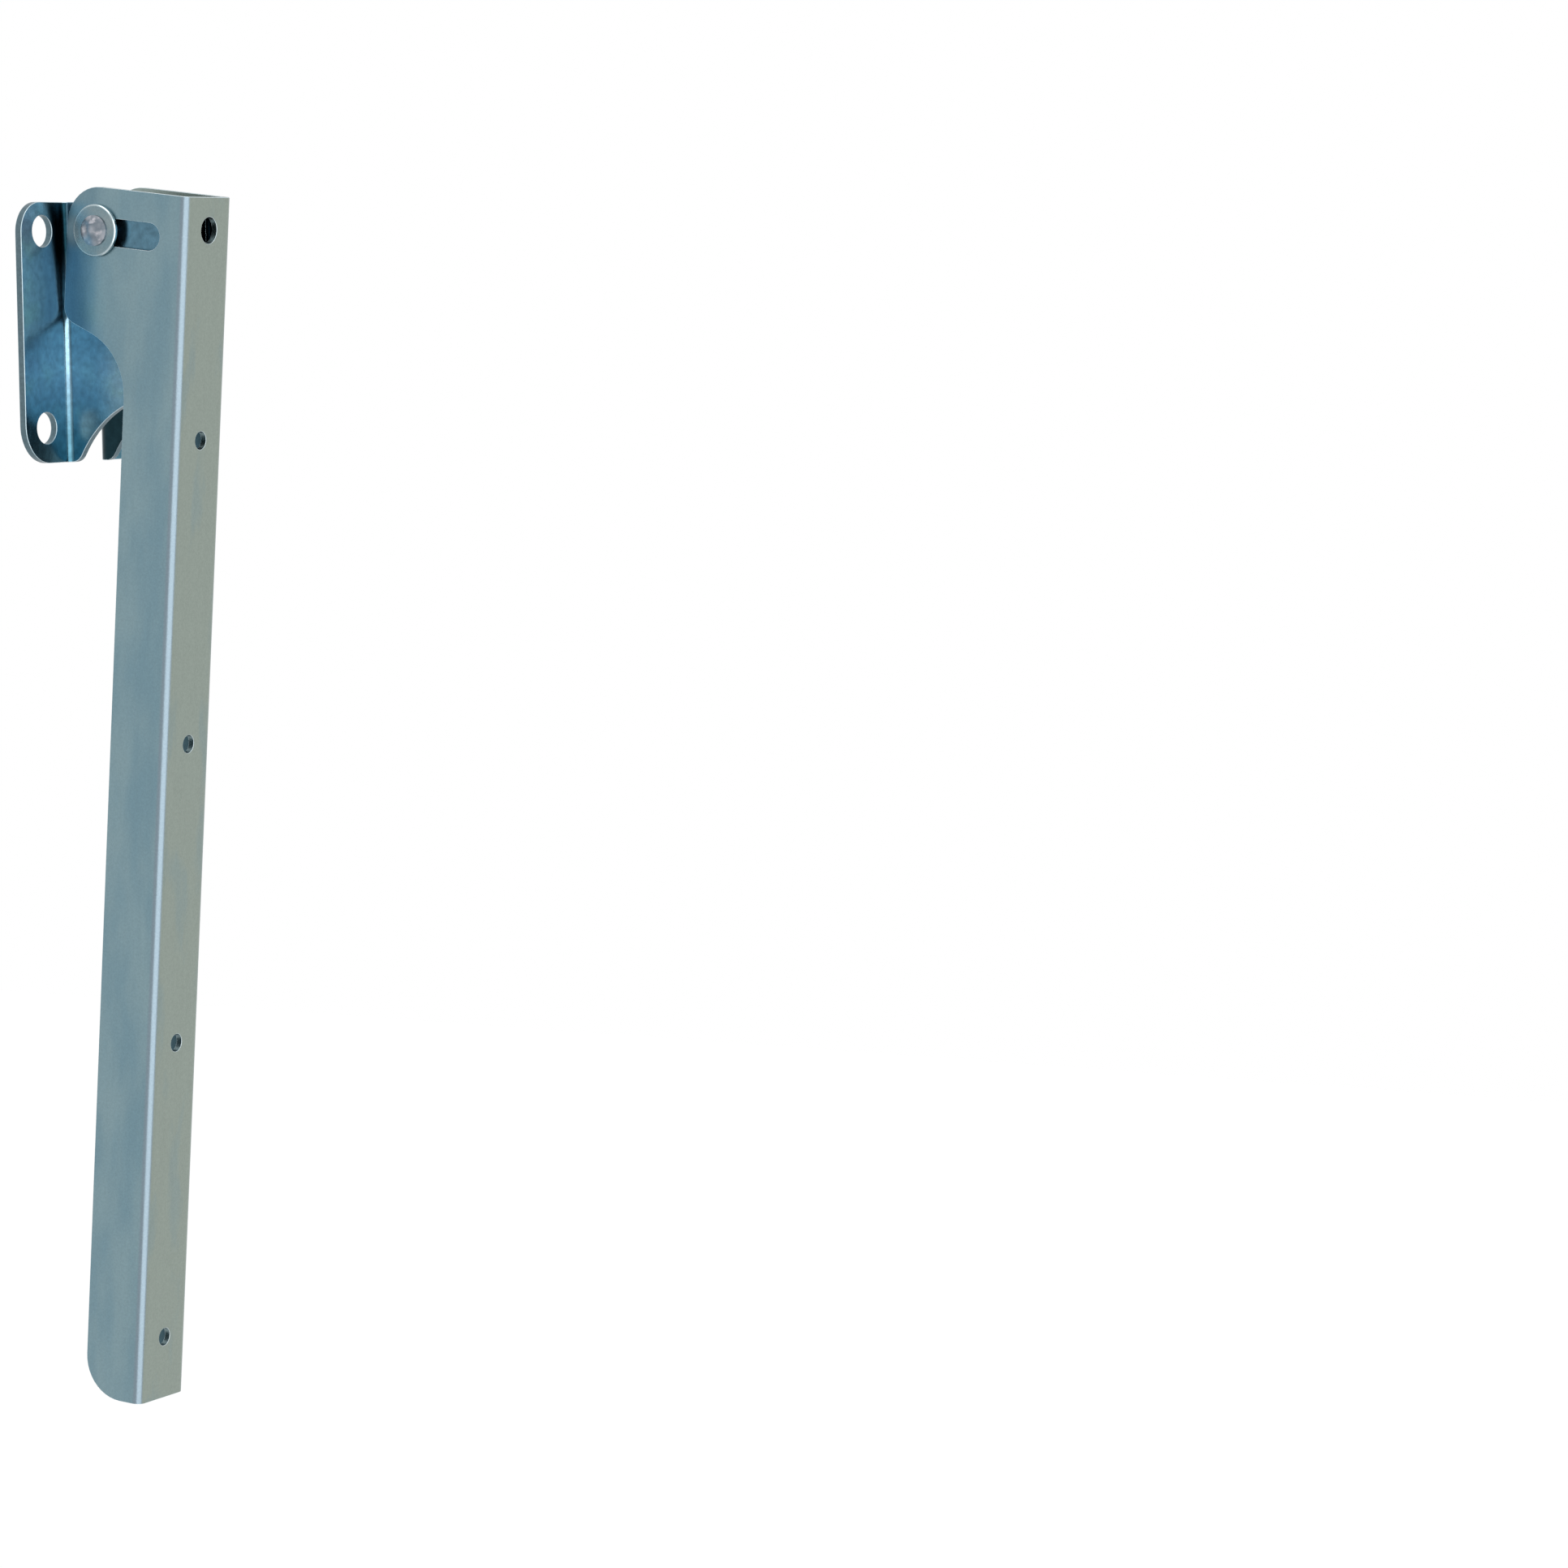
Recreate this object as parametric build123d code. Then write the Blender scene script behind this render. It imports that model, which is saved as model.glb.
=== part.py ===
from build123d import *
import os
from math import acos, atan2, cos, degrees, hypot, radians, sin

# Folding shelf bracket, folded. X leaves the wall, Y runs along the wall and Z points up, in millimetres.
# The origin is in the wall plane, at the middle of the four screw holes.

# Support arm: one sheet folded to an inverted channel, with a deep ear at the wall end of each side plate
arm_length = 400.0
arm_width = 25.5
arm_sheet = 2.0
arm_bend_radius = 1.0
beam_depth = 22.2
tip_radius = 14.0
ear_depth = 47.5
heel_radius = 12.4
toe_radius = 5.5
sweep_radius = 22.0
sweep_start = 67.0
sweep_turn = 69.0

# Slots in the ears and holes in the web; the ears lean, so that the open arm stands a little above level
ear_lean = 2.0
slot_inset = 14.2
slot_top_depth = 14.8
slot_below = 12.1
shelf_hole_radius = 3.0
shelf_hole_count = 4
shelf_hole_tip_inset = 21.0
end_hole_radius = 4.35
end_hole_inset = 10.7

# Wall bracket: one sheet folded to two wings and two cheeks, with a bridge between the cheeks
plate_sheet = 2.5
plate_bend_radius = 2.2
wings_width = 66.0
wing_top_radius = 10.0
wing_bottom_radius = 12.5
top_above_screws = 9.5
bottom_below_screws = 11.5
wall_hole_radius = 5.2
wall_hole_spacing_y = 43.8
wall_hole_spacing_z = 64.0
belly_drop = 32.0
belly_radius = 24.5
throat_radius = 39.0
foot_reach = 6.4
foot_radius = 4.5
bridge_bend_radius = 1.5
bridge_setback = 4.0
relief_width = 1.5

# Pivot pin and washers
pin_radius = 4.2
tenon_radius = 3.0
head_radius = 5.0
head_rim = 0.5
head_height = 1.7
washer_radius = 8.5
washer_thickness = 1.5
washer_edge = 0.3

# Clearances between the pieces
side_clearance = 0.5
slot_clearance = 0.3
pin_clearance = 0.05
tenon_clearance = 0.05
washer_clearance = 0.2
heel_clearance = 1.1
tip_clearance = 2.2
web_clearance = 4.8

# Places that follow from the sizes
slot_bottom_depth = ear_depth - slot_below
shelf_hole_pitch = arm_length / shelf_hole_count
cheek_outside = arm_width / 2 - arm_sheet - side_clearance
cheek_inside = cheek_outside - plate_sheet
pin_x = plate_sheet + heel_clearance + slot_inset
pin_z = wall_hole_spacing_z / 2
cheek_front = pin_x + slot_bottom_depth - arm_sheet - web_clearance
plate_top = wall_hole_spacing_z / 2 + top_above_screws
plate_bottom = -wall_hole_spacing_z / 2 - bottom_below_screws
washer_inside = arm_width / 2 + washer_clearance
washer_outside = washer_inside + washer_thickness
lean_sin = sin(radians(ear_lean))
lean_cos = cos(radians(ear_lean))


def slot_point(depth):
    """Point on the slot's middle line, in the arm's side view, at a depth below the web."""
    return ((slot_inset - depth * lean_sin) / lean_cos, -depth)


slot_top = slot_point(slot_top_depth)
slot_bottom = slot_point(slot_bottom_depth)
slot_travel = (slot_bottom_depth - slot_top_depth) / lean_cos


def side_prism(outline, half_width):
    """Solid that carries a side view, drawn in X and Z, across the whole part."""
    return extrude(Plane.XZ * outline, half_width, both=True)


def rounded(outline, corner, radius):
    """Outline with its corner nearest to a point rounded."""
    return fillet(outline.vertices().sort_by_distance((*corner, 0))[0], radius)


def channel(width, sheet, bend_radius, depth):
    """End view of an inverted channel, drawn in Y and Z with its top at zero."""
    outside = Pos(0, -depth / 2) * Rectangle(width, depth)
    inside = Pos(0, -depth / 2 - sheet) * Rectangle(width - 2 * sheet, depth)
    outside = fillet(outside.vertices().group_by(Axis.Y)[-1], bend_radius + sheet)
    inside = fillet(inside.vertices().group_by(Axis.Y)[-1], bend_radius)
    return outside - inside


# Support arm, in a frame of its own: X along the web from the wall end, Z up from the web's outer face
def arm_side_view():
    """Web edge, round tip, beam, concave sweep, slope, toe, ear bottom, heel and leaning back edge."""
    tip_x = arm_length - tip_radius
    turn_sin = sin(radians(sweep_turn))
    turn_cos = cos(radians(sweep_turn))
    sweep_z = -beam_depth - sweep_radius
    sweep_end = (sweep_start - sweep_radius * turn_sin, sweep_z + sweep_radius * turn_cos)
    toe_z = -ear_depth + toe_radius
    slope_length = (sweep_end[1] + toe_radius * turn_cos - toe_z) / turn_sin
    toe_x = sweep_end[0] - slope_length * turn_cos - toe_radius * turn_sin
    slope_end = (toe_x + toe_radius * turn_sin, toe_z - toe_radius * turn_cos)
    heel_z = -ear_depth + heel_radius
    heel_x = (heel_radius + heel_z * lean_sin) / lean_cos
    heel_back = (heel_x - heel_radius * lean_cos, heel_z + heel_radius * lean_sin)
    edges = [
        Line((0, 0), (arm_length, 0)),
        Line((arm_length, 0), (arm_length, -beam_depth + tip_radius)),
        CenterArc((tip_x, -beam_depth + tip_radius), tip_radius, 0, -90),
        Line((tip_x, -beam_depth), (sweep_start, -beam_depth)),
        CenterArc((sweep_start, sweep_z), sweep_radius, 90, sweep_turn),
        Line(sweep_end, slope_end),
        CenterArc((toe_x, toe_z), toe_radius, sweep_turn - 90, -sweep_turn),
        Line((toe_x, -ear_depth), (heel_x, -ear_depth)),
        CenterArc((heel_x, heel_z), heel_radius, 270, -90 - ear_lean),
        Line(heel_back, (0, 0)),
    ]
    return make_face(edges)


def make_support_arm():
    """Folded channel cut to its side view, with a slot in each ear and the holes of the web."""
    section = Plane.YZ * channel(arm_width, arm_sheet, arm_bend_radius, ear_depth + arm_sheet)
    arm = extrude(section, arm_length, both=True) & side_prism(arm_side_view(), arm_width)
    slot = SlotCenterToCenter(slot_travel, 2 * (pin_radius + slot_clearance), rotation=90 - ear_lean)
    slot_middle = ((slot_top[0] + slot_bottom[0]) / 2, (slot_top[1] + slot_bottom[1]) / 2)
    arm -= side_prism(Pos(*slot_middle) * slot, arm_width)
    holes = [(end_hole_inset, end_hole_radius)]
    for number in range(shelf_hole_count):
        holes.append((arm_length - shelf_hole_tip_inset - number * shelf_hole_pitch, shelf_hole_radius))
    for hole_x, hole_radius in holes:
        arm -= Pos(hole_x, 0, 0) * Cylinder(hole_radius, 4 * arm_sheet)
    return arm


def folded_angle():
    """Turn of the web from level to the folded state: toes at the wings' folds, tip just off the wall."""
    ahead = -slot_bottom[1] - beam_depth + tip_radius
    along = arm_length - tip_radius - slot_bottom[0]
    tip_x = tip_radius + tip_clearance - pin_x
    return 90 + degrees(acos(tip_x / hypot(ahead, along)) - atan2(along, ahead))


def fold(arm):
    """Arm turned down about the lower end of its slots, which sits on the pin."""
    return Pos(pin_x, 0, pin_z) * Rot(0, folded_angle(), 0) * Pos(-slot_bottom[0], 0, -slot_bottom[1]) * arm


# Wall bracket
def half_plan():
    """Plan of one wing, its bend and its cheek."""
    plan = Polygon(
        (0, wings_width / 2),
        (plate_sheet, wings_width / 2),
        (plate_sheet, cheek_outside),
        (cheek_front, cheek_outside),
        (cheek_front, cheek_inside),
        (0, cheek_inside),
        align=None,
    )
    plan = rounded(plan, (plate_sheet, cheek_outside), plate_bend_radius)
    return rounded(plan, (0, cheek_inside), plate_bend_radius + plate_sheet)


def cheek_side_view():
    """Wing thickness, then the cheek: straight front, round belly, concave throat and round foot."""
    belly_x = cheek_front - belly_radius
    belly_z = pin_z - belly_drop
    throat_arm = belly_radius + throat_radius
    foot_arm = hypot(foot_reach - belly_x, plate_bottom - belly_z)
    foot_cosine = (throat_arm ** 2 + foot_arm ** 2 - throat_radius ** 2) / (2 * throat_arm * foot_arm)
    throat_turn = atan2(plate_bottom - belly_z, foot_reach - belly_x) + acos(foot_cosine)
    throat_x = belly_x + throat_arm * cos(throat_turn)
    throat_z = belly_z + throat_arm * sin(throat_turn)
    throat_angle = 180 + degrees(throat_turn)
    foot_angle = degrees(atan2(plate_bottom - throat_z, foot_reach - throat_x))
    edges = [
        Line((0, plate_bottom), (0, plate_top)),
        Line((0, plate_top), (cheek_front, plate_top)),
        Line((cheek_front, plate_top), (cheek_front, belly_z)),
        CenterArc((belly_x, belly_z), belly_radius, 0, degrees(throat_turn)),
        CenterArc((throat_x, throat_z), throat_radius, throat_angle, foot_angle - throat_angle),
        Line((foot_reach, plate_bottom), (0, plate_bottom)),
    ]
    return rounded(make_face(edges), (foot_reach, plate_bottom), foot_radius)


def wing_front_view():
    """Both wings seen from the room, drawn in Y and Z, with their rounded corners."""
    height = plate_top - plate_bottom
    view = Pos(0, (plate_top + plate_bottom) / 2) * Rectangle(wings_width, height)
    view = fillet(view.vertices().group_by(Axis.Y)[-1], wing_top_radius)
    return fillet(view.vertices().group_by(Axis.Y)[0], wing_bottom_radius)


def make_wall_bracket():
    """Hat section cut to its side and front views, closed at the top by the folded bridge."""
    bridge_back = plate_sheet + plate_bend_radius + bridge_setback
    bridge_length = cheek_front - bridge_back
    bridge_round = bridge_bend_radius + plate_sheet
    half = extrude(Pos(0, 0, plate_bottom) * half_plan(), plate_top - plate_bottom, dir=(0, 0, 1))
    bracket = half + mirror(half, Plane.XZ)
    trim = Box(
        bridge_length + relief_width,
        2 * cheek_outside,
        bridge_round,
        align=(Align.MAX, Align.CENTER, Align.MAX),
    )
    bracket -= Pos(cheek_front, 0, plate_top) * trim
    bridge = channel(2 * cheek_outside, plate_sheet, bridge_bend_radius, bridge_round + plate_sheet)
    bracket += Pos(bridge_back, 0, plate_top) * extrude(Plane.YZ * bridge, bridge_length)
    bracket = bracket & side_prism(cheek_side_view(), wings_width)
    bracket = bracket & extrude(Plane.YZ * wing_front_view(), cheek_front)
    bracket -= Pos(pin_x, 0, pin_z) * Rot(90, 0, 0) * Cylinder(pin_radius + pin_clearance, arm_width)
    for hole_y in (-wall_hole_spacing_y / 2, wall_hole_spacing_y / 2):
        for hole_z in (-wall_hole_spacing_z / 2, wall_hole_spacing_z / 2):
            bracket -= Pos(0, hole_y, hole_z) * Rot(0, 90, 0) * Cylinder(wall_hole_radius, 4 * plate_sheet)
    return bracket


# Pivot pin, turned with a stepped end on each side and peened over the washers
def make_pivot_pin():
    """Half of the pin revolved about Y and mirrored."""
    rim = washer_outside + head_rim
    crown = washer_outside + head_height
    edges = [
        Polyline(
            (0, 0),
            (pin_radius, 0),
            (pin_radius, washer_inside),
            (tenon_radius, washer_inside),
            (tenon_radius, washer_outside),
            (head_radius, washer_outside),
            (head_radius, rim),
        ),
        TangentArc((0, crown), (head_radius, rim), tangent=(1, 0)),
        Line((0, crown), (0, 0)),
    ]
    half = revolve(make_face(edges), Axis.Y)
    return Pos(pin_x, 0, pin_z) * (half + mirror(half, Plane.XZ))


def make_washer(side):
    """Flat washer between an ear and a pin head; side is 1 or -1."""
    washer = Cylinder(washer_radius, washer_thickness)
    washer = chamfer(washer.edges(), washer_edge)
    washer -= Cylinder(tenon_radius + tenon_clearance, washer_thickness)
    washer_y = side * (washer_inside + washer_thickness / 2)
    return Pos(pin_x, washer_y, pin_z) * Rot(90, 0, 0) * washer


parts = {
    "wall_bracket": make_wall_bracket(),
    "support_arm": fold(make_support_arm()),
    "pivot_pin": make_pivot_pin(),
    "near_washer": make_washer(-1),
    "far_washer": make_washer(1),
}
os.makedirs("parts", exist_ok=True)
for name, part in parts.items():
    export_step(part, f"parts/{name}.step")
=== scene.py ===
from math import cos, radians, sin

import bmesh
import bpy
from mathutils import Matrix, Vector


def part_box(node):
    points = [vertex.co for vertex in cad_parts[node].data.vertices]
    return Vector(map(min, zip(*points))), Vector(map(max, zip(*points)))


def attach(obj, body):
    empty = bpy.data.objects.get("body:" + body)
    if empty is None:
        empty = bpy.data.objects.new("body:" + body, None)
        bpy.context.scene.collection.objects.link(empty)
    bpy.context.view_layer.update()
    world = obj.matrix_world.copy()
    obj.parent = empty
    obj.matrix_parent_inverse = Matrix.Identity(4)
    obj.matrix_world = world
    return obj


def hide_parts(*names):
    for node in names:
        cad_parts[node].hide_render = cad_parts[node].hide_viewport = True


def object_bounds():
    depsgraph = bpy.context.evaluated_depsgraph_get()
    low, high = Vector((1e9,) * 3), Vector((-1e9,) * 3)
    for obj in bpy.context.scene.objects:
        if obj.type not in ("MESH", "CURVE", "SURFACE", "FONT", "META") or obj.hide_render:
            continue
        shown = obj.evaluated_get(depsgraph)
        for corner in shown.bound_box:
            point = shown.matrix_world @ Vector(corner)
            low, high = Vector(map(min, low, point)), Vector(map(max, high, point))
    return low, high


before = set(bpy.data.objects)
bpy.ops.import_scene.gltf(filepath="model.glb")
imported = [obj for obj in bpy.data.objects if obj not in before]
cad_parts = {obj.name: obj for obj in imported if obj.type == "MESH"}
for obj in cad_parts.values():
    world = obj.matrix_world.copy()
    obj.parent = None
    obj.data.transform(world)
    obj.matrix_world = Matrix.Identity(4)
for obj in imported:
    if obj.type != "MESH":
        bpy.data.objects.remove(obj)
cad_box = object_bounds()

# Support arm: one strip of 2 mm cold-rolled steel, blanked with its slots and holes, then folded to a channel
# with two ears, barrel plated with zinc and passivated blue. The film is thicker, and so bluer, on the ears.
arm_lean = radians(4.416)
sharp_from = radians(32)
arm_colours = {
    "side": "#738F9A",
    "side_pale": "#8199A0",
    "bend": "#7D8D97",
    "web": "#909B93",
    "ear_blue": "#4A6778",
    "mouth": "#8E9C98",
    "inside": "#24393F",
    "channel": "#4A636C",
    "nick": "#4B5A60",
    "cut": "#718487",
    "edge_highlight": "#D2E0E6",
}


def linear(colour):
    """Linear colour of an sRGB hex value."""
    values = [int(colour[start:start + 2], 16) / 255 for start in (1, 3, 5)]
    return [v / 12.92 if v <= 0.04045 else ((v + 0.055) / 1.055) ** 2.4 for v in values] + [1.0]


def add_node(tree, kind, links=None, **settings):
    """A node with its settings; links give a socket's value, its hex colour, or the socket that feeds it."""
    made = tree.nodes.new(kind)
    for name, value in settings.items():
        setattr(made, name, value)
    for name, value in (links or {}).items():
        if isinstance(value, bpy.types.NodeSocket):
            tree.links.new(value, made.inputs[name])
        else:
            made.inputs[name].default_value = linear(value) if isinstance(value, str) else value
    return made


def mark_cut_faces(mesh):
    """Gives the faces that the press cut the second material; sharp edges divide them from the skins."""
    free = set(mesh.faces)
    groups = []
    while free:
        group, front = [], [free.pop()]
        while front:
            face = front.pop()
            group.append(face)
            for edge in face.edges:
                if len(edge.link_faces) == 2 and edge.calc_face_angle() < sharp_from:
                    for other in edge.link_faces:
                        if other in free:
                            free.remove(other)
                            front.append(other)
        groups.append(group)
    # The two skins are the largest groups; a cut face has less than this share of the largest one's area
    cut_share = 0.3
    largest = max(sum(face.calc_area() for face in group) for group in groups)
    for group in groups:
        if sum(face.calc_area() for face in group) < cut_share * largest:
            for face in group:
                face.material_index = 1


def plated_sheet(node, name, materials, inside=0.0):
    """A CAD node's folded sheet with rolled cut edges; nearer the middle plane than inside, all is skin."""
    # Lengths are in metres, here and below
    same_point, flat_within = 0.000002, radians(0.4)
    edge_break, edge_segments = 0.0006, 2
    flat_face_weight = 90
    mesh = bmesh.new()
    mesh.from_mesh(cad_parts[node].data)
    bmesh.ops.remove_doubles(mesh, verts=mesh.verts, dist=same_point)
    bmesh.ops.dissolve_limit(mesh, angle_limit=flat_within, verts=mesh.verts, edges=mesh.edges)
    for face in mesh.faces:
        face.material_index = 0
    mark_cut_faces(mesh)
    sharp = [e for e in mesh.edges if e.is_manifold and e.calc_face_angle_signed() > sharp_from]
    # The broken edges take the third material, a pale painted highlight
    bmesh.ops.bevel(
        mesh, geom=sharp, offset=edge_break, offset_type="OFFSET", segments=edge_segments, profile=0.5,
        affect="EDGES", clamp_overlap=True, material=2, loop_slide=True,
    )
    for face in mesh.faces:
        face.smooth = True
        if abs(face.calc_center_median().y) < inside:
            face.material_index = 0
    data = bpy.data.meshes.new(name)
    mesh.to_mesh(data)
    mesh.free()
    for material in materials:
        data.materials.append(material)
    piece = bpy.data.objects.new(name, data)
    bpy.context.scene.collection.objects.link(piece)
    piece.modifiers.new("flat faces", "WEIGHTED_NORMAL").weight = flat_face_weight
    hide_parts(node)
    return piece


def start_metal(name, roughness):
    """A metal with its output, its shader and the place on the piece."""
    made = bpy.data.materials.new(name)
    made.use_nodes = True
    tree = made.node_tree
    tree.nodes.clear()
    shader = add_node(tree, "ShaderNodeBsdfPrincipled", {"Metallic": 1.0, "Roughness": roughness})
    add_node(tree, "ShaderNodeOutputMaterial", {"Surface": shader.outputs[0]})
    place = add_node(tree, "ShaderNodeTexCoord").outputs["Object"]
    return made, tree, shader, place


def plated_skin(tree, place, shader, colour, roughness, along):
    """Zinc on a rolled sheet: fine sparkle, slow waves and faint drag marks, laid over the film's colour."""
    # Zinc grain is about 0.01 mm; it is drawn 0.7 mm coarse, so that it shows as fine sparkle
    grain_size, drag_size, wave_size = 0.0007, 0.0016, 0.009
    grain_height, wave_height = 0.00006, 0.0003
    grain_share, drag_share, roughness_change = 0.14, 0.05, 0.03
    grain = add_node(
        tree, "ShaderNodeTexNoise", {"Vector": place, "Scale": 1 / grain_size, "Detail": 2.0},
    ).outputs[0]
    long = add_node(tree, "ShaderNodeMapping", {"Vector": place, "Scale": along}).outputs[0]
    drag = add_node(
        tree, "ShaderNodeTexNoise", {"Vector": long, "Scale": 1 / drag_size, "Detail": 3.0},
    ).outputs[0]
    rough = add_node(
        tree, "ShaderNodeMapRange",
        {
            "Value": drag, "From Min": 0.3, "From Max": 0.7,
            "To Min": roughness - roughness_change, "To Max": roughness + roughness_change,
        },
    ).outputs[0]
    tree.links.new(rough, shader.inputs["Roughness"])
    dragged = add_node(
        tree, "ShaderNodeMix", {0: drag_share, 6: colour, 7: drag}, data_type="RGBA", blend_type="OVERLAY",
    ).outputs[2]
    grained = add_node(
        tree, "ShaderNodeMix", {0: grain_share, 6: dragged, 7: grain}, data_type="RGBA", blend_type="OVERLAY",
    ).outputs[2]
    tree.links.new(grained, shader.inputs["Base Color"])
    waves = add_node(
        tree, "ShaderNodeTexNoise", {"Vector": place, "Scale": 1 / wave_size, "Detail": 1.0},
    ).outputs[0]
    slow = add_node(
        tree, "ShaderNodeBump", {"Height": waves, "Strength": 0.25, "Distance": wave_height},
    ).outputs[0]
    fine = add_node(
        tree, "ShaderNodeBump",
        {"Height": grain, "Strength": 0.2, "Distance": grain_height, "Normal": slow},
    ).outputs[0]
    tree.links.new(fine, shader.inputs["Normal"])


def passivated_arm(web_plane, arm_top):
    """Blue passivated zinc over rolled steel: a soft blurred gloss, grey-blue sides and a greener web."""
    roughness = 0.3
    made, tree, shader, place = start_metal("blue passivated zinc, arm", roughness)
    turned = add_node(
        tree, "ShaderNodeMapping", {"Vector": place, "Rotation": (0, -arm_lean, 0)},
    ).outputs[0]
    split = add_node(tree, "ShaderNodeSeparateXYZ", {"Vector": turned})
    out, side, height = split.outputs
    # The film clouds over a few centimetres, as the arms shade each other in the barrel
    cloud_size = 0.012
    drawn = add_node(tree, "ShaderNodeMapping", {"Vector": turned, "Scale": (1, 1, 0.3)}).outputs[0]
    cloud = add_node(
        tree, "ShaderNodeTexNoise", {"Vector": drawn, "Scale": 1 / cloud_size, "Detail": 4.0},
    ).outputs[0]
    pale = add_node(
        tree, "ShaderNodeMapRange", {"Value": cloud, "From Min": 0.3, "From Max": 0.7},
        interpolation_type="SMOOTHSTEP",
    ).outputs[0]
    colour = add_node(
        tree, "ShaderNodeMix", {0: pale, 6: arm_colours["side"], 7: arm_colours["side_pale"]},
        data_type="RGBA",
    ).outputs[2]
    # The film is thinner on the bend, which goes faintly violet, and thinner still on the web
    bend_start, bend_full = web_plane - 0.0032, web_plane - 0.002
    web_start, web_full = web_plane - 0.0004, web_plane - 0.0001
    bent = add_node(
        tree, "ShaderNodeMapRange", {"Value": out, "From Min": bend_start, "From Max": bend_full},
        interpolation_type="SMOOTHSTEP",
    ).outputs[0]
    colour = add_node(
        tree, "ShaderNodeMix", {0: bent, 6: colour, 7: arm_colours["bend"]}, data_type="RGBA",
    ).outputs[2]
    flat = add_node(
        tree, "ShaderNodeMapRange", {"Value": out, "From Min": web_start, "From Max": web_full},
        interpolation_type="SMOOTHSTEP",
    ).outputs[0]
    colour = add_node(
        tree, "ShaderNodeMix", {0: flat, 6: colour, 7: arm_colours["web"]}, data_type="RGBA",
    ).outputs[2]
    stained = add_node(
        tree, "ShaderNodeMapRange", {"Value": cloud, "From Min": 0.54, "From Max": 0.66, "To Max": 0.25},
        interpolation_type="SMOOTHSTEP",
    ).outputs[0]
    stain = add_node(tree, "ShaderNodeMath", {0: flat, 1: stained}, operation="MULTIPLY").outputs[0]
    colour = add_node(
        tree, "ShaderNodeMix", {0: stain, 6: colour, 7: arm_colours["side"]}, data_type="RGBA",
    ).outputs[2]
    # The blue of the ears fades out with a cloudy edge, and is weaker above the pin
    ragged_by, ear_start, ear_full = 0.012, web_plane - 0.024, web_plane - 0.038
    heel_start, heel_full = arm_top - 0.022, arm_top - 0.010
    ragged = add_node(
        tree, "ShaderNodeMath", {0: cloud, 1: ragged_by, 2: out}, operation="MULTIPLY_ADD",
    ).outputs[0]
    blue = add_node(
        tree, "ShaderNodeMapRange", {"Value": ragged, "From Min": ear_start, "From Max": ear_full},
        interpolation_type="SMOOTHSTEP",
    ).outputs[0]
    weaker = add_node(
        tree, "ShaderNodeMapRange",
        {"Value": height, "From Min": heel_start, "From Max": heel_full, "To Min": 1.0, "To Max": 0.35},
    ).outputs[0]
    blue = add_node(tree, "ShaderNodeMath", {0: blue, 1: weaker}, operation="MULTIPLY").outputs[0]
    colour = add_node(
        tree, "ShaderNodeMix", {0: blue, 6: colour, 7: arm_colours["ear_blue"]}, data_type="RGBA",
    ).outputs[2]
    # Painted shade inside the channel: dark between the ears, less dark below, lighter at the mouth
    mouth_end, dark_start = arm_top - 0.004, arm_top - 0.007
    ears_end, channel_start = arm_top - 0.04, arm_top - 0.08
    side_inside, side_margin, web_inside = 0.01075, 0.0001, web_plane - 0.0018
    deep = add_node(
        tree, "ShaderNodeMapRange", {"Value": height, "From Min": mouth_end, "From Max": dark_start},
    ).outputs[0]
    channel_shade = add_node(
        tree, "ShaderNodeMix", {0: deep, 6: arm_colours["mouth"], 7: arm_colours["inside"]}, data_type="RGBA",
    ).outputs[2]
    below_ears = add_node(
        tree, "ShaderNodeMapRange", {"Value": height, "From Min": ears_end, "From Max": channel_start},
    ).outputs[0]
    channel_shade = add_node(
        tree, "ShaderNodeMix", {0: below_ears, 6: channel_shade, 7: arm_colours["channel"]}, data_type="RGBA",
    ).outputs[2]
    off_side = add_node(tree, "ShaderNodeMath", {0: side}, operation="ABSOLUTE").outputs[0]
    between = add_node(
        tree, "ShaderNodeMath", {0: off_side, 1: side_inside + side_margin}, operation="LESS_THAN",
    ).outputs[0]
    below = add_node(tree, "ShaderNodeMath", {0: out, 1: web_inside}, operation="LESS_THAN").outputs[0]
    shaded_inside = add_node(tree, "ShaderNodeMath", {0: between, 1: below}, operation="MULTIPLY").outputs[0]
    colour = add_node(tree, "ShaderNodeMix", {0: shaded_inside, 6: colour, 7: channel_shade}, data_type="RGBA").outputs[2]
    # Nicks from other arms in the barrel, a few centimetres apart and longer along the strip
    nick_spacing, nick_edge, nick_full = 0.016, 0.035, 0.015
    spots = add_node(tree, "ShaderNodeMapping", {"Vector": turned, "Scale": (1, 1, 0.35)}).outputs[0]
    spot = add_node(tree, "ShaderNodeTexVoronoi", {"Vector": spots, "Scale": 1 / nick_spacing}).outputs[0]
    nick = add_node(
        tree, "ShaderNodeMapRange", {"Value": spot, "From Min": nick_edge, "From Max": nick_full},
    ).outputs[0]
    colour = add_node(
        tree, "ShaderNodeMix", {0: nick, 6: colour, 7: arm_colours["nick"]}, data_type="RGBA",
    ).outputs[2]
    plated_skin(tree, turned, shader, colour, roughness, along=(1, 1, 0.07))
    return made


def torn_zinc(name, colour, roughness):
    """Zinc over a sheared edge: the torn half of the cut stays dull and grainy under the plating."""
    tear_size, tear_height, tear_share = 0.0009, 0.0001, 0.3
    made, tree, shader, place = start_metal(name, roughness)
    torn = add_node(
        tree, "ShaderNodeTexNoise", {"Vector": place, "Scale": 1 / tear_size, "Detail": 3.0},
    ).outputs[0]
    shade = add_node(
        tree, "ShaderNodeMix", {0: tear_share, 6: colour, 7: torn}, data_type="RGBA", blend_type="OVERLAY",
    ).outputs[2]
    tree.links.new(shade, shader.inputs["Base Color"])
    bump = add_node(
        tree, "ShaderNodeBump", {"Height": torn, "Strength": 0.5, "Distance": tear_height},
    ).outputs[0]
    tree.links.new(bump, shader.inputs["Normal"])
    return made


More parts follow.
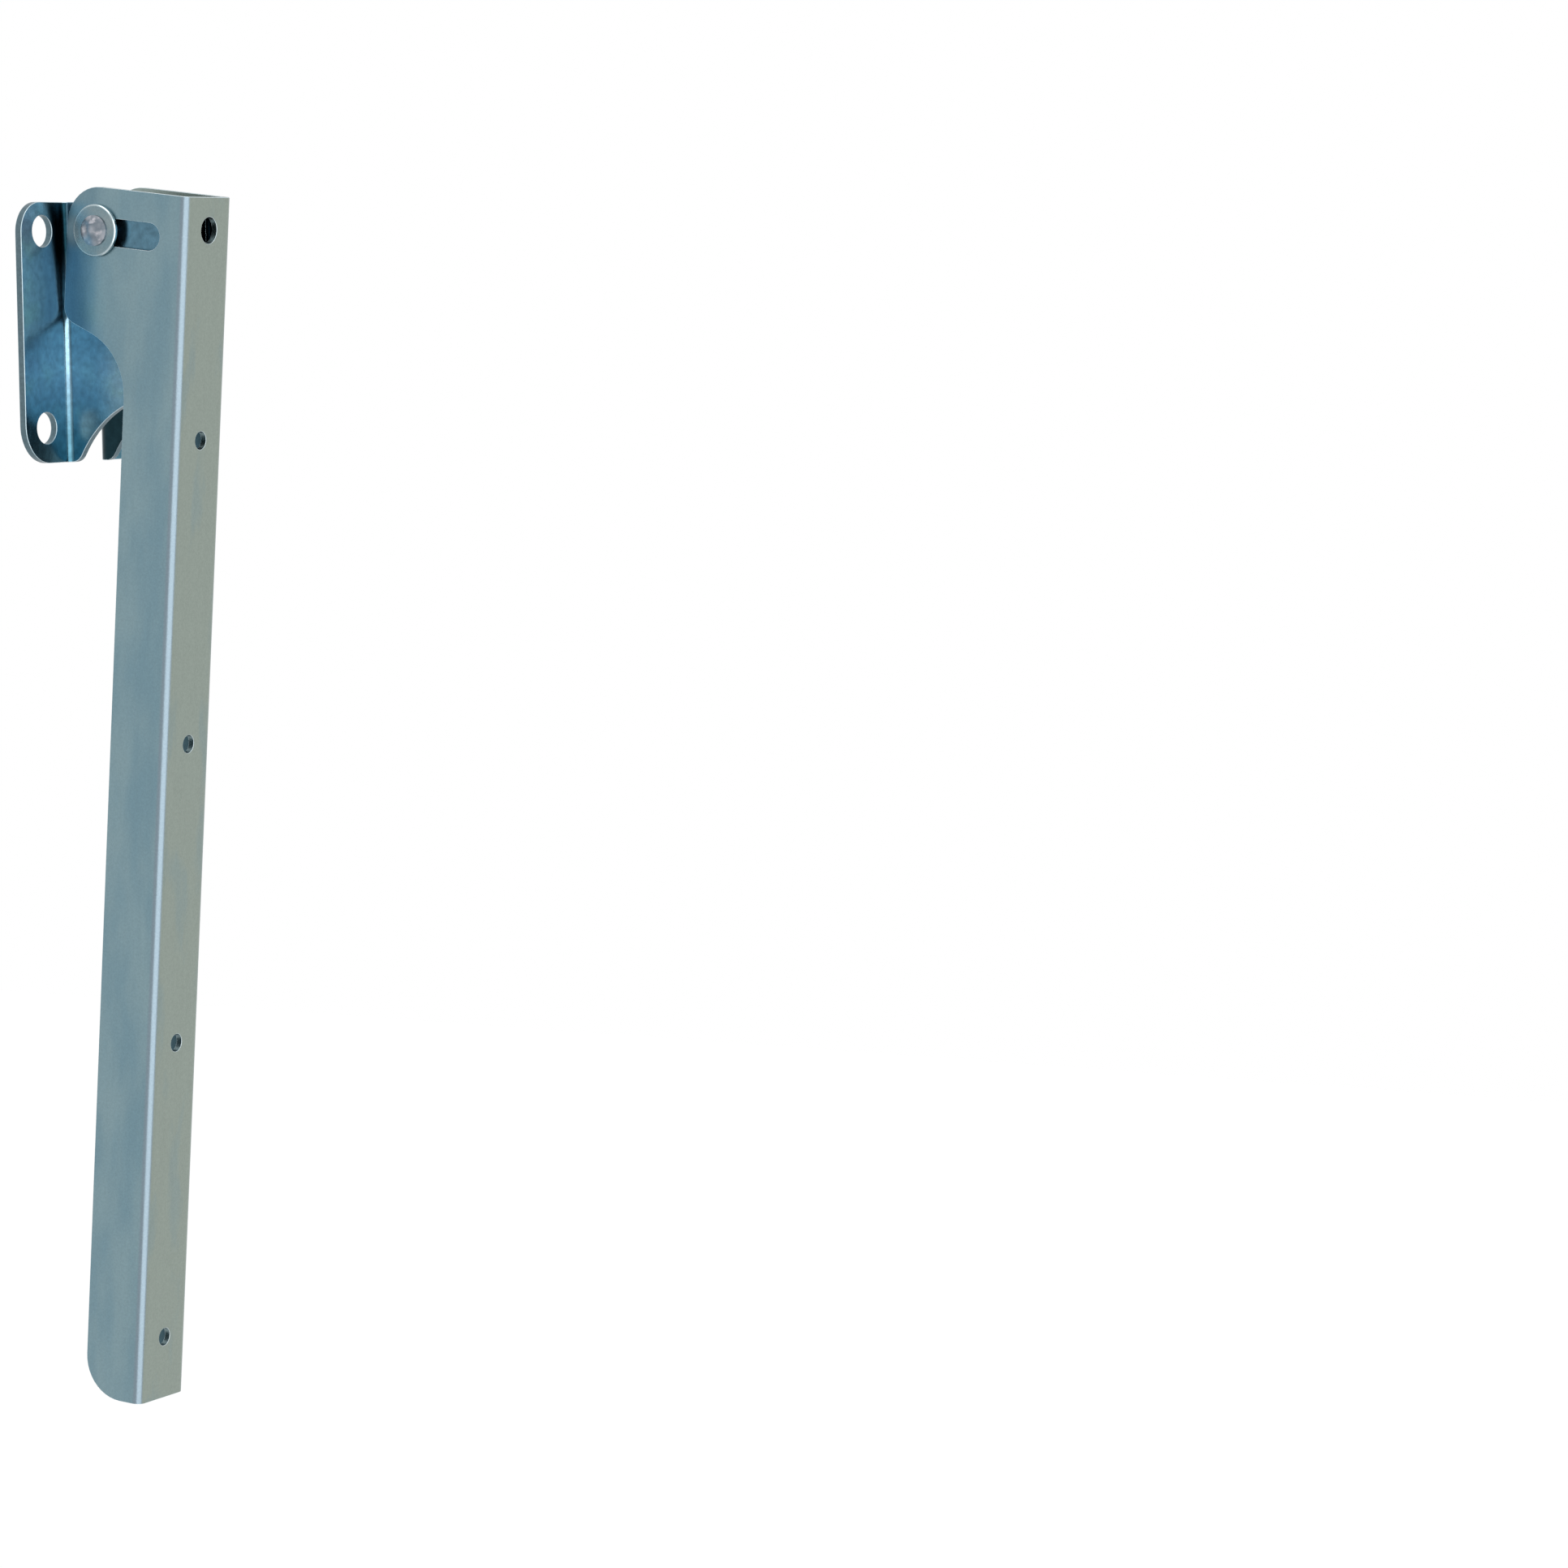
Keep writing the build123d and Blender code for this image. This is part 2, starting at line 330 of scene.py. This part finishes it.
def edge_highlight_zinc(name, colour):
    """A pale painted highlight line along every broken edge."""
    edge_mottle_size, edge_mottle_share = 0.003, 0.45
    made, tree, shader, place = start_metal(name, roughness=0.42)
    edge_mottle = add_node(
        tree, "ShaderNodeTexNoise", {"Vector": place, "Scale": 1 / edge_mottle_size, "Detail": 3.0},
    ).outputs[0]
    shade = add_node(
        tree, "ShaderNodeMix", {0: edge_mottle_share, 6: colour, 7: edge_mottle}, data_type="RGBA", blend_type="OVERLAY",
    ).outputs[2]
    tree.links.new(shade, shader.inputs["Base Color"])
    return made


lean_sin, lean_cos = sin(arm_lean), cos(arm_lean)
arm_points = [v.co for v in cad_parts["support_arm"].data.vertices]
web_plane = max(point.x * lean_cos - point.z * lean_sin for point in arm_points)
arm_top = max(point.x * lean_sin + point.z * lean_cos for point in arm_points)
arm_piece = plated_sheet(
    "support_arm", "arm_channel",
    [
        passivated_arm(web_plane, arm_top),
        torn_zinc("zinc on the arm's cut edge", arm_colours["cut"], roughness=0.36),
        edge_highlight_zinc("zinc with painted edge highlight, arm", arm_colours["edge_highlight"]),
    ],
)
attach(arm_piece, "arm")

# Wall bracket: one 2.5 mm blank folded to two wings and two cheeks with a bridge between them. It lay in the
# barrel nested with others, so its film is thicker than the arm's, a clear blue with teal and violet clouds.
cheek_inside = 0.0078
bracket_colours = {
    "face": "#7697A9",
    "teal": "#74979F",
    "violet": "#7592A6",
    "pale": "#8EB1C3",
    "cheek_shade": "#577A8C",
    "deep": "#4B7788",
    "inside": "#1B3138",
    "fold_shade": "#16343F",
    "cut": "#5E727A",
    "edge_highlight": "#B8CAD2",
}


def passivated_bracket():
    """Thick blue passivation on zinc: a clear blue with slow teal and violet clouds and the fine grain."""
    cloud_size, roughness = 0.009, 0.24
    made, tree, shader, place = start_metal("blue passivated zinc, bracket", roughness)
    split = add_node(tree, "ShaderNodeSeparateXYZ", {"Vector": place})
    side, height = split.outputs[1], split.outputs[2]
    cloud = add_node(
        tree, "ShaderNodeTexNoise", {"Vector": place, "Scale": 1 / cloud_size, "Detail": 5.0},
    ).outputs[0]
    teal = add_node(
        tree, "ShaderNodeMapRange", {"Value": cloud, "From Min": 0.5, "From Max": 0.7},
        interpolation_type="SMOOTHSTEP",
    ).outputs[0]
    colour = add_node(
        tree, "ShaderNodeMix", {0: teal, 6: bracket_colours["face"], 7: bracket_colours["teal"]},
        data_type="RGBA",
    ).outputs[2]
    violet = add_node(
        tree, "ShaderNodeMapRange", {"Value": cloud, "From Min": 0.48, "From Max": 0.34},
        interpolation_type="SMOOTHSTEP",
    ).outputs[0]
    colour = add_node(
        tree, "ShaderNodeMix", {0: violet, 6: colour, 7: bracket_colours["violet"]}, data_type="RGBA",
    ).outputs[2]
    # Painted shade on the cheeks at the top, under the ears; the wings are paler towards their folds
    top_start, top_full = -0.024, -0.003
    fold_start, fold_full = 0.031, 0.016
    off_side = add_node(tree, "ShaderNodeMath", {0: side}, operation="ABSOLUTE").outputs[0]
    upper = add_node(
        tree, "ShaderNodeMapRange", {"Value": height, "From Min": top_start, "From Max": top_full},
        interpolation_type="SMOOTHSTEP",
    ).outputs[0]
    shaded_cheek = add_node(
        tree, "ShaderNodeMix", {0: upper, 6: colour, 7: bracket_colours["cheek_shade"]}, data_type="RGBA",
    ).outputs[2]
    near_fold = add_node(
        tree, "ShaderNodeMapRange", {"Value": off_side, "From Min": fold_start, "From Max": fold_full},
        interpolation_type="SMOOTHSTEP",
    ).outputs[0]
    clear = add_node(tree, "ShaderNodeMath", {0: near_fold, 1: upper}, operation="MULTIPLY").outputs[0]
    wing = add_node(
        tree, "ShaderNodeMix", {0: clear, 6: colour, 7: bracket_colours["pale"]}, data_type="RGBA",
    ).outputs[2]
    # Painted shade in the folds, where the ears' heels turn, spreading towards the top
    spread, fold_shade_start, fold_shade_full = 0.2, 0.0148, 0.0088
    heel_start, heel_full = 0.010, 0.026
    cheek_outside, cheek_margin = 0.01025, 0.0002
    wedge = add_node(
        tree, "ShaderNodeMath", {0: height, 1: -spread, 2: off_side}, operation="MULTIPLY_ADD",
    ).outputs[0]
    hollow = add_node(
        tree, "ShaderNodeMapRange", {"Value": wedge, "From Min": fold_shade_start, "From Max": fold_shade_full},
        interpolation_type="SMOOTHSTEP",
    ).outputs[0]
    heel = add_node(
        tree, "ShaderNodeMapRange", {"Value": height, "From Min": heel_start, "From Max": heel_full},
        interpolation_type="SMOOTHSTEP",
    ).outputs[0]
    fold_shaded = add_node(tree, "ShaderNodeMath", {0: hollow, 1: heel}, operation="MULTIPLY").outputs[0]
    wing = add_node(
        tree, "ShaderNodeMix", {0: fold_shaded, 6: wing, 7: bracket_colours["fold_shade"]}, data_type="RGBA",
    ).outputs[2]
    on_wing = add_node(
        tree, "ShaderNodeMath", {0: off_side, 1: cheek_outside + cheek_margin}, operation="GREATER_THAN",
    ).outputs[0]
    colour = add_node(tree, "ShaderNodeMix", {0: on_wing, 6: shaded_cheek, 7: wing}, data_type="RGBA").outputs[2]
    # The lower corners lay deepest in the nest of blanks, where the film grew darkest
    ragged_by, low_start, low_full = 0.02, 0.002, -0.035
    ragged = add_node(
        tree, "ShaderNodeMath", {0: cloud, 1: ragged_by, 2: height}, operation="MULTIPLY_ADD",
    ).outputs[0]
    low = add_node(
        tree, "ShaderNodeMapRange", {"Value": ragged, "From Min": low_start, "From Max": low_full},
        interpolation_type="SMOOTHSTEP",
    ).outputs[0]
    colour = add_node(
        tree, "ShaderNodeMix", {0: low, 6: colour, 7: bracket_colours["deep"]}, data_type="RGBA",
    ).outputs[2]
    # Painted shade between the cheeks
    inner_start, inner_full = cheek_inside + 0.0015, cheek_inside + 0.0007
    shaded_inside = add_node(
        tree, "ShaderNodeMapRange", {"Value": off_side, "From Min": inner_start, "From Max": inner_full},
    ).outputs[0]
    colour = add_node(
        tree, "ShaderNodeMix", {0: shaded_inside, 6: colour, 7: bracket_colours["inside"]}, data_type="RGBA",
    ).outputs[2]
    # The thick film is mottled a few millimetres across
    mottle_size, mottle_share = 0.0022, 0.4
    mottle = add_node(
        tree, "ShaderNodeTexNoise", {"Vector": place, "Scale": 1 / mottle_size, "Detail": 4.0},
    ).outputs[0]
    colour = add_node(
        tree, "ShaderNodeMix", {0: mottle_share, 6: colour, 7: mottle},
        data_type="RGBA", blend_type="OVERLAY",
    ).outputs[2]
    plated_skin(tree, place, shader, colour, roughness, along=(1, 1, 0.15))
    return made


bracket_piece = plated_sheet(
    "wall_bracket", "bracket_sheet",
    [
        passivated_bracket(),
        torn_zinc("zinc on the bracket's cut edge", bracket_colours["cut"], roughness=0.34),
        edge_highlight_zinc("zinc with painted edge highlight, bracket", bracket_colours["edge_highlight"]),
    ],
    inside=cheek_inside,
)
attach(bracket_piece, "bracket")

# Pivot pin: turned steel bar, zinc plated, its two ends hammered over the washers by an orbital riveter.
# The blows left the low domes faintly faceted, and rubbed off most of the blue film.
pin_colours = {"head": "#9FA3AA", "dent": "#7B848D", "shine": "#D2D0D6"}


def hammered_zinc():
    """Burnished zinc with shallow facets 2 to 3 mm across: hazy pinkish grey with small bright patches."""
    facet_size, haze_size, grain_size = 0.0028, 0.0025, 0.0008
    facet_height, grain_height, grain_share = 0.0004, 0.00006, 0.2
    made, tree, shader, place = start_metal("burnished zinc, pin", roughness=0.32)
    facets = add_node(
        tree, "ShaderNodeTexVoronoi", {"Vector": place, "Scale": 1 / facet_size, "Smoothness": 0.6},
        feature="SMOOTH_F1",
    ).outputs[0]
    dent = add_node(
        tree, "ShaderNodeMapRange", {"Value": facets, "From Min": 0.2, "From Max": 0.6},
    ).outputs[0]
    colour = add_node(
        tree, "ShaderNodeMix", {0: dent, 6: pin_colours["head"], 7: pin_colours["dent"]}, data_type="RGBA",
    ).outputs[2]
    haze = add_node(
        tree, "ShaderNodeTexNoise", {"Vector": place, "Scale": 1 / haze_size, "Detail": 3.0},
    ).outputs[0]
    patch = add_node(
        tree, "ShaderNodeMapRange", {"Value": haze, "From Min": 0.5, "From Max": 0.78},
        interpolation_type="SMOOTHSTEP",
    ).outputs[0]
    colour = add_node(
        tree, "ShaderNodeMix", {0: patch, 6: colour, 7: pin_colours["shine"]}, data_type="RGBA",
    ).outputs[2]
    grain = add_node(
        tree, "ShaderNodeTexNoise", {"Vector": place, "Scale": 1 / grain_size, "Detail": 3.0},
    ).outputs[0]
    colour = add_node(
        tree, "ShaderNodeMix", {0: grain_share, 6: colour, 7: grain}, data_type="RGBA", blend_type="OVERLAY",
    ).outputs[2]
    tree.links.new(colour, shader.inputs["Base Color"])
    dents = add_node(
        tree, "ShaderNodeBump", {"Height": facets, "Strength": 0.35, "Distance": facet_height},
    ).outputs[0]
    fine = add_node(
        tree, "ShaderNodeBump",
        {"Height": grain, "Strength": 0.3, "Distance": grain_height, "Normal": dents},
    ).outputs[0]
    tree.links.new(fine, shader.inputs["Normal"])
    return made


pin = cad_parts["pivot_pin"]
pin.data.materials.clear()
pin.data.materials.append(hammered_zinc())

# Washers: blanked from 1.5 mm sheet and tumbled, so the rims are rounded; plated and passivated with the
# rest. The rims carry a pale painted highlight.
washer_colours = {"face": "#768D95", "cloud": "#87969A", "rim": "#B6C4C8"}


def tumbled_zinc(centre):
    """Zinc on a tumbled washer: even grey-blue, with a painted highlight on the rim."""
    cloud_size, roughness = 0.006, 0.26
    face_radius, rim_fade = 0.0078, 0.0004
    made, tree, shader, place = start_metal("tumbled zinc, washer", roughness)
    cloud = add_node(
        tree, "ShaderNodeTexNoise", {"Vector": place, "Scale": 1 / cloud_size, "Detail": 3.0},
    ).outputs[0]
    share = add_node(
        tree, "ShaderNodeMapRange", {"Value": cloud, "From Min": 0.4, "From Max": 0.65},
    ).outputs[0]
    colour = add_node(
        tree, "ShaderNodeMix", {0: share, 6: washer_colours["face"], 7: washer_colours["cloud"]},
        data_type="RGBA",
    ).outputs[2]
    flat = add_node(
        tree, "ShaderNodeMapping",
        {"Vector": place, "Location": (-centre.x, 0, -centre.z), "Scale": (1, 0, 1)},
    ).outputs[0]
    away = add_node(tree, "ShaderNodeVectorMath", {0: flat}, operation="LENGTH").outputs["Value"]
    # Painted highlight on the rim, outside the flat face
    rim = add_node(
        tree, "ShaderNodeMapRange",
        {"Value": away, "From Min": face_radius, "From Max": face_radius + rim_fade},
    ).outputs[0]
    colour = add_node(
        tree, "ShaderNodeMix", {0: rim, 6: colour, 7: washer_colours["rim"]}, data_type="RGBA",
    ).outputs[2]
    plated_skin(tree, place, shader, colour, roughness, along=(1, 1, 1))
    return made


washer_low, washer_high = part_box("near_washer")
washer_zinc = tumbled_zinc((washer_low + washer_high) / 2)
for name in ("near_washer", "far_washer"):
    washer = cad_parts[name]
    washer.data.materials.clear()
    washer.data.materials.append(washer_zinc)

# Floor and backdrop: white paper, plain white to the camera and in the metal's gloss, and shaded by the lamps
# for everything else. The bracket hangs as on its wall, well above the floor.
floor_drop = 0.9
floor_half = 6.0


def seen_directly(tree):
    """One for rays from the camera and rays mirrored in the metal, zero for all others."""
    path = add_node(tree, "ShaderNodeLightPath")
    return add_node(
        tree, "ShaderNodeMath", {0: path.outputs["Is Camera Ray"], 1: path.outputs["Is Glossy Ray"]},
        operation="MAXIMUM",
    ).outputs[0]


def white_paper():
    """Matt white paper that shows as plain white and keeps the object's soft shadow."""
    plain_share, plain_strength = 0.92, 1.06
    made = bpy.data.materials.new("white paper")
    made.use_nodes = True
    tree = made.node_tree
    tree.nodes.clear()
    share = add_node(
        tree, "ShaderNodeMath", {0: seen_directly(tree), 1: plain_share}, operation="MULTIPLY",
    ).outputs[0]
    matt = add_node(tree, "ShaderNodeBsdfDiffuse", {"Color": "#F2F2F2"})
    plain = add_node(tree, "ShaderNodeEmission", {"Color": (1, 1, 1, 1), "Strength": plain_strength})
    both = add_node(tree, "ShaderNodeMixShader", {0: share, 1: matt.outputs[0], 2: plain.outputs[0]})
    add_node(tree, "ShaderNodeOutputMaterial", {"Surface": both.outputs[0]})
    return made


paper = bmesh.new()
bmesh.ops.create_grid(paper, x_segments=1, y_segments=1, size=floor_half)
bmesh.ops.translate(paper, verts=paper.verts, vec=(0, 0, cad_box[0].z - floor_drop))
floor_mesh = bpy.data.meshes.new("floor")
paper.to_mesh(floor_mesh)
paper.free()
floor_mesh.materials.append(white_paper())
floor = bpy.data.objects.new("floor", floor_mesh)
bpy.context.scene.collection.objects.link(floor)

# The world is plain white to the camera and in the gloss, and a dimmer room for all other light
room_strength = 0.5
world = bpy.data.worlds.new("studio")
bpy.context.scene.world = world
world.use_nodes = True
sky = world.node_tree
sky.nodes.clear()
seen = seen_directly(sky)
room = add_node(sky, "ShaderNodeBackground", {"Color": (1, 1, 1, 1), "Strength": room_strength})
plain = add_node(sky, "ShaderNodeBackground", {"Color": (1, 1, 1, 1), "Strength": 1.0})
both = add_node(sky, "ShaderNodeMixShader", {0: seen, 1: room.outputs[0], 2: plain.outputs[0]})
add_node(sky, "ShaderNodeOutputWorld", {"Surface": both.outputs[0]})

# Studio light: one tall soft lamp right of the camera, which draws the bright line along the bends, and a
# weaker one above.
middle = Vector((0.03, 0.0, -0.15))


def soft_lamp(name, azimuth, elevation, distance, width, height, power):
    """A rectangular soft lamp that looks at the bracket's middle."""
    data = bpy.data.lights.new(name, "AREA")
    data.shape = "RECTANGLE"
    data.size = width
    data.size_y = height
    data.energy = power
    lamp = bpy.data.objects.new(name, data)
    turn, rise = radians(azimuth), radians(elevation)
    away = Vector((sin(turn) * cos(rise), -cos(turn) * cos(rise), sin(rise)))
    lamp.location = middle + away * distance
    lamp.rotation_euler = away.to_track_quat("Z", "Y").to_euler()
    bpy.context.scene.collection.objects.link(lamp)


soft_lamp("wide lamp right", azimuth=55, elevation=0, distance=1.6, width=1.9, height=2.6, power=24)
soft_lamp("lamp above", azimuth=0, elevation=78, distance=1.6, width=1.0, height=1.0, power=6)

# Camera: a long lens level with the wall screws, 29 degrees right of square to the near side plate and
# looking 6 degrees down, as the photograph was taken. Its place comes first, then its own three axes.
camera_place = Vector((1.029829, -1.362100, 0.011852))
right = Vector((0.872406, 0.488644, -0.011570))
up = Vector((-0.037539, 0.090585, 0.995181))
back = Vector((0.487337, -0.867768, 0.097370))
camera_data = bpy.data.cameras.new("camera")
camera_data.lens = 117.151
camera_data.sensor_width = 36.0
camera_data.clip_end = 30.0
camera = bpy.data.objects.new("camera", camera_data)
turn = Matrix((right, up, back)).transposed().to_4x4()
camera.matrix_world = Matrix.Translation(camera_place) @ turn
bpy.context.scene.collection.objects.link(camera)
bpy.context.scene.camera = camera
bpy.context.scene.view_settings.view_transform = "Standard"
